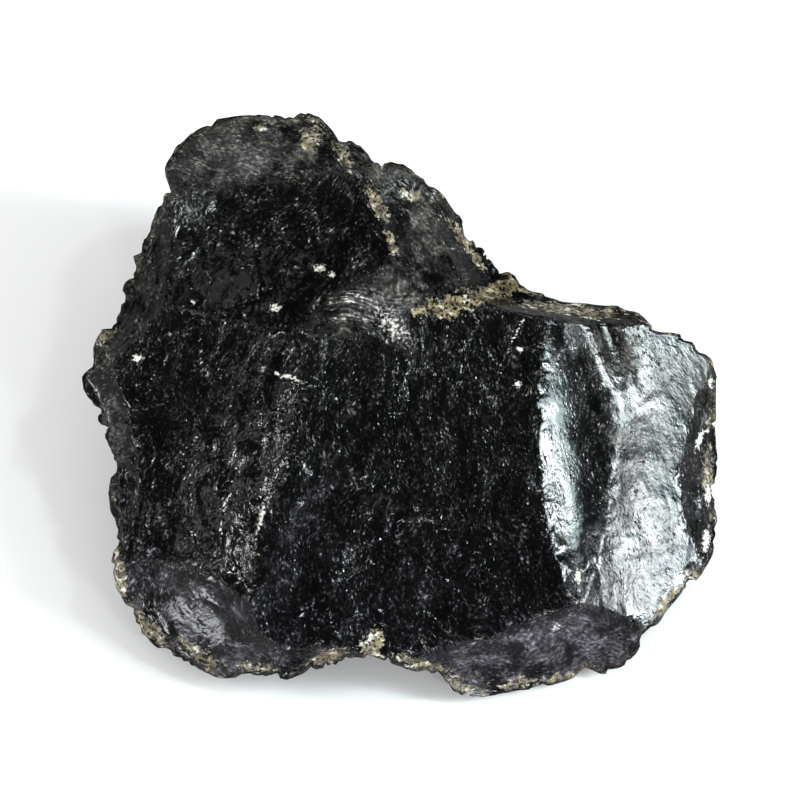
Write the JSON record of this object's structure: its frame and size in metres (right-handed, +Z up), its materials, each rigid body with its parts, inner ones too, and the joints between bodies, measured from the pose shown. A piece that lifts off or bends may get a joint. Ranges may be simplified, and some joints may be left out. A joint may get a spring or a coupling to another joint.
{
  "type": "raw obsidian",
  "caption": "Rough lump of black volcanic glass with shell-shaped breaks and ridges on its broad face, resting on a flat underside.",
  "frame": {"origin": "centre of the stone's box at the flat underside it rests on", "axes": "+X along the stone's width, to the right of its broad face; +Z up from the underside; the broad face looks up and towards -Y"},
  "size_m": [0.0794, 0.0686, 0.033],
  "materials": {
    "obsidian": "gloss"
  },
  "bodies": {
    "root": {"raw_obsidian": "obsidian"}
  },
  "joints": []
}
